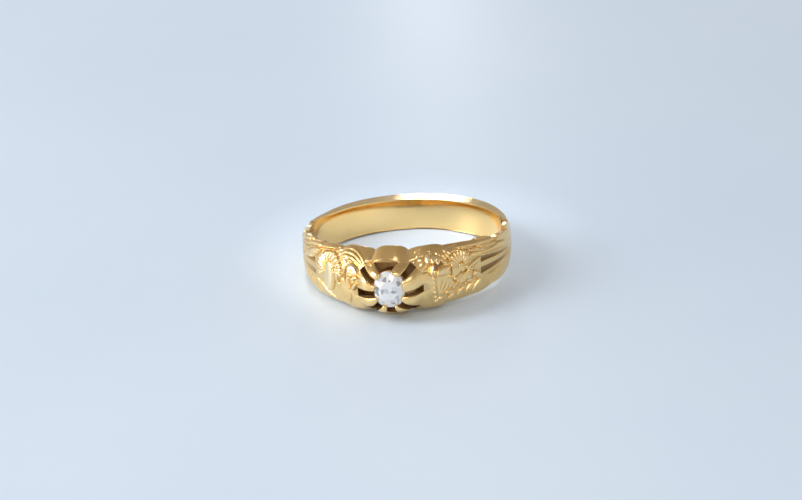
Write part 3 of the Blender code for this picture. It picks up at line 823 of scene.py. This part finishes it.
def claw_piece(name, before, after):
    """Claw between two slots: a petal at the opening that narrows to a rounded tip on the stone."""
    across = np.linspace(-1.0, 1.0, CLAW_GRID[1])
    round_top = CLAW_CREST * np.sqrt(np.clip(1.0 - across ** 2, 0.0, 1.0))
    loops = []
    for share in np.linspace(CLAW_ROOT, 0.0, CLAW_GRID[0]):
        inside = min(share, 1.0)
        middle, half = claw_span(before, after, inside)
        turn = middle + half * across
        near = stone_radius(turn)
        distance = near + (opening_radius(turn) - near) * share
        skin = skin_height(turn, distance)
        rising = 1.0 - smooth(0.0, 1.0, share) * 0.5 - 0.5 * inside
        swell = CLAW_HEIGHT - CLAW_TIP_DROP - CLAW_SWELL_FALL * share ** CLAW_SWELL_POWER
        top = skin + (swell - skin) * rising ** CLAW_FALL_POWER
        relief = petal_relief(turn, distance) * smooth(CLAW_PLAIN, 1.0, share)
        top = top + relief + round_top * smooth(1.0, CLAW_PLAIN, share)
        top = top - CLAW_TUCK * max(0.0, share - 1.0) / (CLAW_ROOT - 1.0)
        bottom = top - CLAW_DEPTH - CLAW_BELLY * (1.0 - across ** 2)
        over_stone = share < CLAW_NECK
        bottom = np.maximum(bottom, GIRDLE_HEIGHT - CLAW_NECK_DEPTH if over_stone else 0.0)
        loops.append(claw_loop(turn, distance, top, bottom))
    middle, half = claw_span(before, after, 0.0)
    for step in range(1, CLAW_TIP_STEPS + 1):
        lap = step / CLAW_TIP_STEPS
        narrow = math.sqrt(max(0.0, 1.0 - (lap * 0.96) ** 2.2))
        turn = middle + half * across * narrow
        distance = stone_radius(turn) - CLAW_LAP * lap
        rest = crown_height_at(turn, distance) + 0.01
        top = CLAW_HEIGHT - CLAW_TIP_DROP + round_top - 0.10 * lap ** 3
        top = rest + (np.maximum(top, rest) - rest) * math.sqrt(max(0.02, 1.0 - lap ** 3))
        loops.append(claw_loop(turn, distance, top, rest))
    loops = np.array(loops)
    # Painted shade on the claw's sides and underside; its top row has none.
    cavity = np.full(loops.shape[:2], -SHADE)
    cavity[:, :across.size] = 0.0
    return add_grid(name, loops, cavity, sharp=(0, across.size - 1), on_floor=False)


def claw_loop(turn, distance, top, bottom):
    """Closed section: the top row, two sides and the bottom row back again."""
    upper = setting_points(turn, distance, top)
    lower = setting_points(turn, distance, bottom)[::-1]
    fall = np.linspace(0.0, 1.0, CLAW_SIDE_STEPS)[1:-1, None]
    right = upper[-1] + (lower[0] - upper[-1]) * fall
    left = lower[-1] + (upper[0] - lower[-1]) * fall
    return np.concatenate((upper, right, lower, left))


# Collet profile: (radius, share of the way out to the opening, height, share that is over the finger wall)
COLLET = (
    (1.40, 0.0, 11.20, 0), (1.37, 0.0, 11.25, 0), (1.30, 0.0, 11.27, 0), (1.20, 0.0, 11.25, 0),
    (1.15, 0.0, 11.18, 0), (0.98, 0.0, 10.6, 0), (0.84, 0.0, 10.0, 0), (0.72, 0.0, 9.4, 0),
    (0.66, 0.0, 0.30, 1), (0.62, 0.0, 0.10, 1), (0.66, 0.0, 0.03, 1), (0.66, 0.35, 0.02, 1),
    (0.66, 0.70, 0.02, 1), (0.66, 0.985, 0.03, 1), (0.66, 0.995, 0.10, 1), (0.66, 0.995, 0.34, 1),
    (0.66, 0.96, 0.40, 1), (0.66, 0.70, 0.42, 1), (0.90, 0.25, 0.44, 1), (1.00, 0.04, 0.50, 1),
    (1.02, 0.0, 0.72, 1), (1.05, 0.0, 9.6, 0), (1.14, 0.0, 10.1, 0), (1.27, 0.0, 10.7, 0),
    (1.36, 0.0, 11.05, 0),
)


def collet_piece(name):
    """Tapered cup behind the stone, whose foot spreads into a plate that closes the head's opening."""
    turn = np.linspace(0.0, 360.0, COLLET_STEPS, endpoint=False)[:, None]
    radius, out, height, on_wall = np.array(COLLET).T[:, None, :]
    reach = radius + (opening_radius(turn) - radius) * out
    reach = reach * (1.0 + COLLET_STRETCH * np.abs(sind(turn))
                     * smooth(*COLLET_STRETCH_RISE, height))
    wall = np.sqrt(FINGER_RADIUS ** 2 - (reach * cosd(turn)) ** 2)
    loops = setting_points(turn, reach, height + wall * on_wall)
    # Painted shade on all of the collet but the plate's face towards the finger.
    facing_finger = (on_wall > 0.5) & (height < 0.2)
    shaded = np.broadcast_to(np.where(facing_finger, 0.0, -SHADE), loops.shape[:2])
    return add_grid(name, loops, shaded, closed=True, on_floor=False)


def diamond_piece(name):
    """Old cushion cut: table, star, kite and girdle facets over lower halves, mains and a culet."""
    girdle_bottom = GIRDLE_HEIGHT - 0.5 * GIRDLE_THICKNESS
    rows = (
        (8, 22.5, TABLE_SHARE, GIRDLE_TOP + CROWN_HEIGHT),
        (8, 0.0, BEZEL_SHARE, GIRDLE_TOP + BEZEL_RISE * CROWN_HEIGHT),
        (32, 0.0, 1.0, GIRDLE_TOP),
        (32, 0.0, 1.0, girdle_bottom),
        (8, 22.5, PAVILION_SHARE, girdle_bottom - PAVILION_DROP * PAVILION_DEPTH),
        (8, 0.0, CULET_SHARE, girdle_bottom - PAVILION_DEPTH),
    )
    shape = bmesh.new()
    for count, first, share, height in rows:
        turn = first + np.arange(count) * 360.0 / count
        points = setting_points(turn, share * stone_radius(turn), height)
        for point in place(points):
            shape.verts.new(point)
    bmesh.ops.convex_hull(shape, input=shape.verts, use_existing_faces=False)
    loose = [vert for vert in shape.verts if not vert.link_faces]
    bmesh.ops.delete(shape, geom=loose, context="VERTS")
    bmesh.ops.dissolve_limit(shape, angle_limit=math.radians(1.0), verts=shape.verts, edges=shape.edges)
    bmesh.ops.recalc_face_normals(shape, faces=shape.faces)
    mesh = bpy.data.meshes.new(name)
    shape.to_mesh(mesh)
    shape.free()
    return add_object(name, mesh)


# ---- materials
GOLD_TONES = ((0.3, (0.91, 0.63, 0.27)), (0.7, (0.97, 0.70, 0.32)))
GOLD_DRIFT, GOLD_SMUDGES, GOLD_SCRATCHES = 260.0, 900.0, 1500.0  # scales of the noise
SCRATCH_DEPTH = 0.02 * MM
STONE_CELLS = 2900.0
# Painted highlight: pale gold mixed onto raised carving.
PAINTED_HIGHLIGHT_GOLD = (0.98, 0.79, 0.48, 1.0)
# Painted shade: dark brown mixed into the hollows, walls and lips of the gold.
PAINTED_SHADE_BROWN = (0.34, 0.21, 0.09, 1.0)
# Painted shade colour for the collet inside the head, a lighter brown than the carving's.
COLLET_PAINTED_SHADE = (0.66, 0.37, 0.14, 1.0)
STONE_TONES = ((0.15, (0.30, 0.33, 0.38)), (0.27, (0.86, 0.90, 0.96)), (0.4, (1.0, 1.0, 1.0)))
FLOOR_TONES = ((0.3, (0.61, 0.74, 0.91)), (0.7, (0.68, 0.80, 0.96)))
SKY_TONES = ((0.0, (1.0, 1.0, 1.0)), (0.30, (0.88, 0.88, 0.90)),
             (0.60, (0.52, 0.47, 0.42)), (1.0, (0.31, 0.27, 0.23)))


def new_material(name):
    """New node material: its nodes, its links and its shader."""
    material = bpy.data.materials.new(name)
    material.use_nodes = True
    nodes = material.node_tree.nodes
    return nodes, material.node_tree.links, nodes["Principled BSDF"]


def put(node, **values):
    """Sets a node's inputs by name, with _ for a space."""
    for key, value in values.items():
        node.inputs[key.replace("_", " ")].default_value = value


def ramp(nodes, stops):
    node = nodes.new("ShaderNodeValToRGB")
    elements = node.color_ramp.elements
    while len(elements) < len(stops):
        elements.new(0.5)
    for element, (position, colour) in zip(elements, stops):
        element.position = position
        element.color = (*colour, 1.0)
    return node


def noise(nodes, links, coordinates, scale, detail=3.0, roughness=0.5):
    node = nodes.new("ShaderNodeTexNoise")
    put(node, Scale=scale, Detail=detail, Roughness=roughness)
    links.new(coordinates, node.inputs["Vector"])
    return node.outputs["Fac"]


def mix_colour(nodes, links, factor, first, second):
    """First colour, a socket, with a second, fixed one mixed in."""
    node = nodes.new("ShaderNodeMix")
    node.data_type = "RGBA"
    links.new(factor, node.inputs["Factor"])
    links.new(first, node.inputs["A"])
    put(node, B=second)
    return node.outputs["Result"]


def map_range(nodes, links, value, low, high, to_low, to_high):
    node = nodes.new("ShaderNodeMapRange")
    put(node, From_Min=low, From_Max=high, To_Min=to_low, To_Max=to_high)
    links.new(value, node.inputs["Value"])
    return node.outputs["Result"]


def gold(name, low_rough, high_rough, scratches, shade_colour=PAINTED_SHADE_BROWN):
    """Yellow gold whose colour drifts: hollows, walls and lips take a painted brown shade, crests a paler
    painted highlight, and it is scratched.
    """
    nodes, links, shader = new_material(name)
    where = nodes.new("ShaderNodeTexCoord").outputs["Object"]
    carved = nodes.new("ShaderNodeAttribute")
    carved.attribute_name = "carving"
    depth = carved.outputs["Fac"]

    tone = ramp(nodes, GOLD_TONES)
    links.new(noise(nodes, links, where, GOLD_DRIFT), tone.inputs["Fac"])
    # Painted shade: hollows, walls and lips turn towards a dark brown and lose some metal.
    hollow = map_range(nodes, links, depth, -0.03, -0.19, 0.0, 1.0)
    # Painted highlight: raised carving turns towards a pale gold.
    crest = map_range(nodes, links, depth, 0.10, 0.30, 0.0, 1.0)
    colour = mix_colour(nodes, links, hollow, tone.outputs["Color"], shade_colour)
    links.new(mix_colour(nodes, links, crest, colour, PAINTED_HIGHLIGHT_GOLD), shader.inputs["Base Color"])
    links.new(map_range(nodes, links, depth, -0.04, -0.20, 1.0, 0.40), shader.inputs["Metallic"])

    smudge = noise(nodes, links, where, GOLD_SMUDGES, 4.0)
    links.new(map_range(nodes, links, smudge, 0.35, 0.7, low_rough, high_rough),
              shader.inputs["Roughness"])
    streaks = nodes.new("ShaderNodeMapping")
    put(streaks, Scale=(1.0, 1.0, 14.0), Rotation=(0.3, 0.2, 0.5))
    links.new(where, streaks.inputs["Vector"])
    fine = noise(nodes, links, streaks.outputs["Vector"], GOLD_SCRATCHES, 5.0, 0.6)
    bump = nodes.new("ShaderNodeBump")
    put(bump, Strength=scratches, Distance=SCRATCH_DEPTH)
    links.new(fine, bump.inputs["Height"])
    links.new(bump.outputs["Normal"], shader.inputs["Normal"])
    return bpy.data.materials[name]


def diamond_material(name):
    """Clear stone with bright and grey patches that stand for the light in its facets."""
    nodes, links, shader = new_material(name)
    cells = nodes.new("ShaderNodeTexVoronoi")
    put(cells, Scale=STONE_CELLS)
    links.new(nodes.new("ShaderNodeTexCoord").outputs["Object"], cells.inputs["Vector"])
    tone = ramp(nodes, STONE_TONES)
    links.new(cells.outputs["Color"], tone.inputs["Fac"])
    links.new(tone.outputs["Color"], shader.inputs["Base Color"])
    put(shader, Transmission_Weight=0.25, IOR=2.42, Roughness=0.0)
    return bpy.data.materials[name]


def floor_material(name):
    """Pale, satin stone with a faint cloud."""
    nodes, links, shader = new_material(name)
    where = nodes.new("ShaderNodeTexCoord").outputs["Object"]
    tone = ramp(nodes, FLOOR_TONES)
    links.new(noise(nodes, links, where, 14.0, 5.0), tone.inputs["Fac"])
    links.new(tone.outputs["Color"], shader.inputs["Base Color"])
    put(shader, Roughness=0.45)
    return bpy.data.materials[name]


# ---- stage, light and camera
# Softboxes: azimuth, elevation, distance (m), width and height (m), power (W), colour
LEFT_WINDOW = (-75.0, 36.0, 0.5, (0.20, 0.28), 1.7, (1.0, 0.99, 0.97))
BACK_CARD = (-173.2, 16.0, 0.15, (0.0065, 0.05), 0.0065, (1.0, 1.0, 1.0))
FRONT_FILL = (20.0, 50.0, 0.5, (0.30, 0.20), 0.5, (1.0, 0.99, 0.97))
SNOOT_HEIGHT = 250.0 * MM
SNOOT_REACH = 7.0 * MM
SNOOT_BACK = 4.5 * MM  # behind the finger hole's axis
SNOOT_POWER = 3.6
SNOOT_SOFTNESS = 12.0 * MM
FLOOR_RADIUS = 1.5
CAMERA_ELEVATION, CAMERA_AZIMUTH, CAMERA_ROLL = 24.25, 8.83, 3.99
CAMERA_DISTANCE = 0.3
CAMERA_SHIFT = (-0.0097, 0.0217)
CAMERA_SENSOR = 36.0  # mm
VIEW_WIDTH = 71.5 * MM  # seen across the picture, at the ring's distance


def add_floor():
    shape = bmesh.new()
    bmesh.ops.create_circle(shape, cap_ends=True, segments=64, radius=FLOOR_RADIUS)
    mesh = bpy.data.meshes.new("floor")
    shape.to_mesh(mesh)
    shape.free()
    mesh.materials.append(floor_material("pale_floor"))
    floor = add_object("floor", mesh)
    floor.location.z = CAD_BOX[0][2]


def direction(azimuth, elevation):
    """Unit vector away from the ring; azimuth 0 is the head's side, in degrees."""
    a, e = math.radians(azimuth), math.radians(elevation)
    return Vector((math.sin(a) * math.cos(e), -math.cos(a) * math.cos(e), math.sin(e)))


def add_softbox(name, centre, azimuth, elevation, distance, size, power, colour):
    """Area light that faces the ring."""
    light = bpy.data.lights.new(name, "AREA")
    light.shape = "RECTANGLE"
    light.size, light.size_y = size
    light.energy = power
    light.color = colour
    away = direction(azimuth, elevation)
    lamp = add_object(name, light)
    lamp.location = centre + away * distance
    lamp.rotation_euler = (-away).to_track_quat("-Z", "Y").to_euler()


def add_world():
    world = bpy.data.worlds.new("studio")
    bpy.context.scene.world = world
    world.use_nodes = True
    nodes, links = world.node_tree.nodes, world.node_tree.links
    background = nodes["Background"]
    outwards = nodes.new("ShaderNodeTexCoord").outputs["Generated"]
    split = nodes.new("ShaderNodeSeparateXYZ")
    links.new(outwards, split.inputs["Vector"])
    height = map_range(nodes, links, split.outputs["Z"], -0.1, 1.0, 0.0, 1.0)
    sky = ramp(nodes, SKY_TONES)
    links.new(height, sky.inputs["Fac"])
    links.new(sky.outputs["Color"], background.inputs["Color"])
    sideways = map_range(nodes, links, split.outputs["X"], -0.9, 0.9, 1.35, 0.75)
    depth = map_range(nodes, links, split.outputs["Y"], 0.3, 0.95, 1.0, 0.42)
    strength = nodes.new("ShaderNodeMath")
    strength.operation = "MULTIPLY"
    links.new(sideways, strength.inputs[0])
    links.new(depth, strength.inputs[1])
    links.new(strength.outputs["Value"], background.inputs["Strength"])


def add_snoot(centre):
    """Narrow soft spot straight down, which lights the floor and the wall inside the ring."""
    light = bpy.data.lights.new("inside_snoot", "SPOT")
    light.energy = SNOOT_POWER
    light.shadow_soft_size = SNOOT_SOFTNESS
    light.spot_size = 2.0 * math.atan2(SNOOT_REACH, SNOOT_HEIGHT)
    light.spot_blend = 0.7
    lamp = add_object("inside_snoot", light)
    lamp.location = centre + Vector((0.0, SNOOT_BACK, SNOOT_HEIGHT))


def add_camera(centre):
    """Long lens at the elevation and azimuth of a product shot, turned a few degrees about its axis."""
    azimuth, roll = math.radians(CAMERA_AZIMUTH), math.radians(CAMERA_ROLL)
    back = direction(CAMERA_AZIMUTH, CAMERA_ELEVATION)
    level = Vector((math.cos(azimuth), math.sin(azimuth), 0.0))
    upright = level.cross(-back)
    right = level * math.cos(roll) - upright * math.sin(roll)
    up = level * math.sin(roll) + upright * math.cos(roll)
    data = bpy.data.cameras.new("camera")
    data.sensor_width = CAMERA_SENSOR
    data.lens = CAMERA_SENSOR * CAMERA_DISTANCE / VIEW_WIDTH
    data.shift_x, data.shift_y = CAMERA_SHIFT
    data.clip_start = 0.01
    camera = add_object("camera", data)
    facing = Matrix((right, up, back)).transposed().to_4x4()
    camera.matrix_world = Matrix.Translation(centre + back * CAMERA_DISTANCE) @ facing
    bpy.context.scene.camera = camera


def finish_piece(piece, material, slot, *nodes):
    piece.data.materials.append(material)
    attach(piece, "root")
    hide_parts(*nodes)


def main():
    polished = gold("gold_polished", 0.05, 0.11, 0.2)
    carved = gold("gold_carved", 0.14, 0.26, 0.4)
    shaded = gold("gold_shaded", 0.32, 0.50, 0.3, COLLET_PAINTED_SHADE)
    shank = band_piece("plain_shank", SHOULDER_END, 360.0 - SHOULDER_END, *SHANK_GRID)
    right = band_piece("carved_right_shoulder", HEAD_SPAN, SHOULDER_END, *SHOULDER_GRID)
    left = band_piece("carved_left_shoulder", -SHOULDER_END, -HEAD_SPAN, *SHOULDER_GRID)
    finish_piece(shank, polished, "gold", "shank")
    finish_piece(right, carved, "gold", "right_shoulder")
    finish_piece(left, carved, "gold", "left_shoulder")
    finish_piece(head_piece("lobed_head"), carved, "gold", "head")
    finish_piece(collet_piece("stone_collet"), shaded, "gold", "collet")
    for i, before in enumerate(SLOTS):
        claw = claw_piece(f"petal_claw_{i + 1}", before, SLOTS[(i + 1) % len(SLOTS)])
        finish_piece(claw, carved, "gold", f"claw_{i + 1}")
    diamond = diamond_piece("cushion_diamond")
    finish_piece(diamond, diamond_material("diamond_clear"), "diamond", "diamond")

    centre = Vector((RING.translation.x, RING.translation.y, CAD_BOX[0][2]))
    add_floor()
    add_world()
    add_softbox("left_window", centre, *LEFT_WINDOW)
    add_softbox("back_card", centre, *BACK_CARD)
    add_snoot(centre)
    add_softbox("front_fill", centre, *FRONT_FILL)
    add_camera(centre)
    bpy.context.scene.view_settings.view_transform = "Standard"


main()
